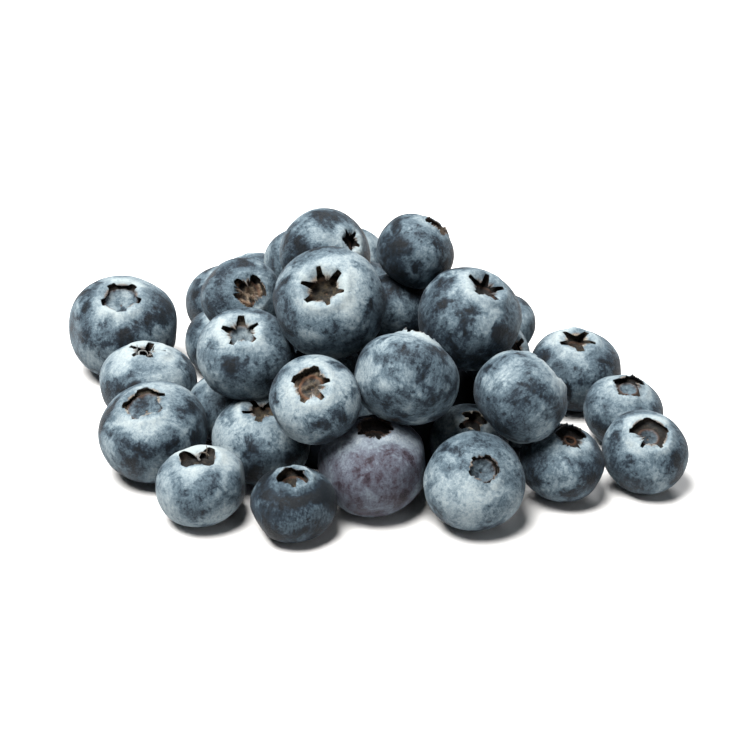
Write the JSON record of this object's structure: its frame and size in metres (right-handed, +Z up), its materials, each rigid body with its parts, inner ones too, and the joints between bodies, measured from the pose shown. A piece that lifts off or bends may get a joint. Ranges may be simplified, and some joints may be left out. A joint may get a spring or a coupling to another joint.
{
  "type": "heap of blueberries",
  "caption": "Small loose heap of fresh blueberries, about a tenth of a metre long, resting flat on a table, with berries of uneven size showing their star-shaped calyxes.",
  "frame": {"origin": "middle of the heap's footprint, at the level of the table it lies on", "axes": "+X to the right along the heap's long side, +Y away from its shown front, +Z up"},
  "size_m": [0.1042, 0.0796, 0.0383],
  "materials": {
    "blueberry_skin": "matte dark blue skin under a pale waxy bloom"
  },
  "bodies": {
    "root": {"blueberry_heap": "blueberry_skin"}
  },
  "joints": []
}
